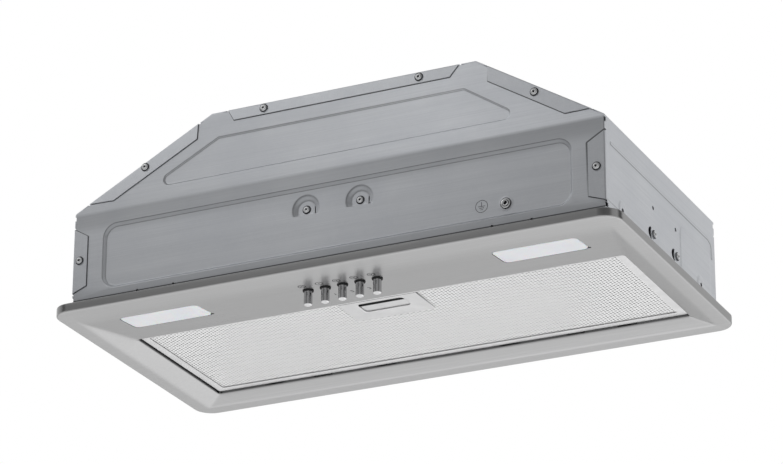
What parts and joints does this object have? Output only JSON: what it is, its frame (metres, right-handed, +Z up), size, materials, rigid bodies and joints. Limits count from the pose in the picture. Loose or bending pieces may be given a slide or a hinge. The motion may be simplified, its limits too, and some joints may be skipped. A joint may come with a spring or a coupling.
{
  "type": "range hood insert",
  "caption": "Canopy range hood insert for a wall cabinet: stainless face tray with mesh grease filter, lamps and push buttons under a sheet-metal blower case with a round top duct collar.",
  "frame": {"origin": "centre of the face tray in plan, at the height of its top lip, the seat against the cabinet's underside", "axes": "+Z up, +X to the user's right along the width, -Y towards the user (button side)"},
  "size_m": [0.525, 0.28, 0.215],
  "materials": {
    "stainless": "pressed stainless sheet, satin",
    "galvanised": "zinc coated sheet steel, fine rolling streaks",
    "zinc_parts": "zinc plated steel",
    "chrome": "polished",
    "filter_metal": "bright aluminium sheet",
    "filter_mesh": "expanded foil, open layers",
    "lens": "milky white, satin",
    "black_plastic": "moulded, fine texture",
    "grey_plastic": "moulded",
    "fan_plastic": "moulded, slight gloss",
    "motor_steel": "painted sheet steel",
    "lamination": "stacked core sheets",
    "board": "circuit board",
    "spring_steel": "spring wire",
    "white_plastic": "moulded",
    "capacitor": "white can",
    "brass": "plated insert"
  },
  "bodies": {
    "housing": {"face_tray": "stainless", "wrapper_shell": "galvanised", "front_panel": "galvanised", "rear_panel": "galvanised", "outlet_collar": "black_plastic", "damper_pin": "zinc_parts", "blower_scroll": "galvanised", "blower_inlet_plate": "galvanised", "blower_motor_plate": "galvanised", "inlet_ring": "fan_plastic", "motor_stator": "lamination", "motor_can": "motor_steel", "motor_end_cap": "motor_steel", "motor_bearings": "zinc_parts", "run_capacitor": "capacitor", "capacitor_clamp": "zinc_parts", "led_driver": "white_plastic", "terminal_box": "white_plastic", "terminal_lid": "white_plastic", "terminal_block": "white_plastic", "cable_gland": "grey_plastic", "gland_nut": "grey_plastic", "lamp_lens_left": "lens", "lamp_housing_left": "white_plastic", "led_board_left": "board", "lamp_lens_right": "lens", "lamp_housing_right": "white_plastic", "led_board_right": "board", "switch_bezel": "black_plastic", "switch_housing": "black_plastic", "switch_board": "board", "earth_rivnut": "brass", "panel_screws": "zinc_parts", "side_screws": "zinc_parts", "collar_screws": "zinc_parts", "button_spring_1": "spring_steel", "button_spring_2": "spring_steel", "button_spring_3": "spring_steel", "button_spring_4": "spring_steel", "button_spring_5": "spring_steel"},
    "damper_rear": {"damper_flap_rear": "black_plastic"},
    "damper_front": {"damper_flap_front": "black_plastic"},
    "fan_rotor": {"impeller": "fan_plastic", "motor_shaft": "zinc_parts", "motor_rotor": "lamination"},
    "grease_filter": {"filter_frame": "filter_metal", "filter_mesh_face": "filter_mesh", "filter_mesh_core": "filter_mesh", "filter_mesh_back": "filter_mesh", "filter_latch_plate": "filter_metal", "filter_latch_spring": "spring_steel"},
    "filter_latch": {"filter_latch_slide": "filter_metal"},
    "push_1": {"button_1": "chrome"},
    "push_2": {"button_2": "chrome"},
    "push_3": {"button_3": "chrome"},
    "push_4": {"button_4": "chrome"},
    "push_5": {"button_5": "chrome"}
  },
  "joints": [
    {"name": "damper_rear_swing", "type": "hinge", "parent": "housing", "child": "damper_rear", "pos_m": [0.009, 0.0425, 0.1745], "axis": [1, 0, 0], "range_deg": [0, 70]},
    {"name": "damper_front_swing", "type": "hinge", "parent": "housing", "child": "damper_front", "pos_m": [0.009, 0.0425, 0.1745], "axis": [-1, 0, 0], "range_deg": [0, 70]},
    {"name": "fan_spin", "type": "hinge", "parent": "housing", "child": "fan_rotor", "pos_m": [0.009, -0.01, 0.086], "axis": [1, 0, 0], "continuous": true},
    {"name": "filter_swing", "type": "hinge", "parent": "housing", "child": "grease_filter", "pos_m": [0, 0.11, 0], "axis": [1, 0, 0], "range_deg": [0, 40]},
    {"name": "latch_slide", "type": "slide", "parent": "grease_filter", "child": "filter_latch", "axis": [0, 1, 0], "range_m": [0, 0.0055], "stiffness_N_per_m": 300, "springref_m": -0.004, "deforming": ["filter_latch_spring"]},
    {"name": "button_1_press", "type": "slide", "parent": "housing", "child": "push_1", "axis": [0, 0, 1], "range_m": [0, 0.003], "stiffness_N_per_m": 300, "springref_m": -0.003, "deforming": ["button_spring_1"]},
    {"name": "button_2_press", "type": "slide", "parent": "housing", "child": "push_2", "axis": [0, 0, 1], "range_m": [0, 0.003], "stiffness_N_per_m": 300, "springref_m": -0.003, "deforming": ["button_spring_2"]},
    {"name": "button_3_press", "type": "slide", "parent": "housing", "child": "push_3", "axis": [0, 0, 1], "range_m": [0, 0.003], "stiffness_N_per_m": 300, "springref_m": -0.003, "deforming": ["button_spring_3"]},
    {"name": "button_4_press", "type": "slide", "parent": "housing", "child": "push_4", "axis": [0, 0, 1], "range_m": [0, 0.003], "stiffness_N_per_m": 300, "springref_m": -0.003, "deforming": ["button_spring_4"]},
    {"name": "button_5_press", "type": "slide", "parent": "housing", "child": "push_5", "axis": [0, 0, 1], "range_m": [0, 0.003], "stiffness_N_per_m": 300, "springref_m": -0.003, "deforming": ["button_spring_5"]}
  ]
}
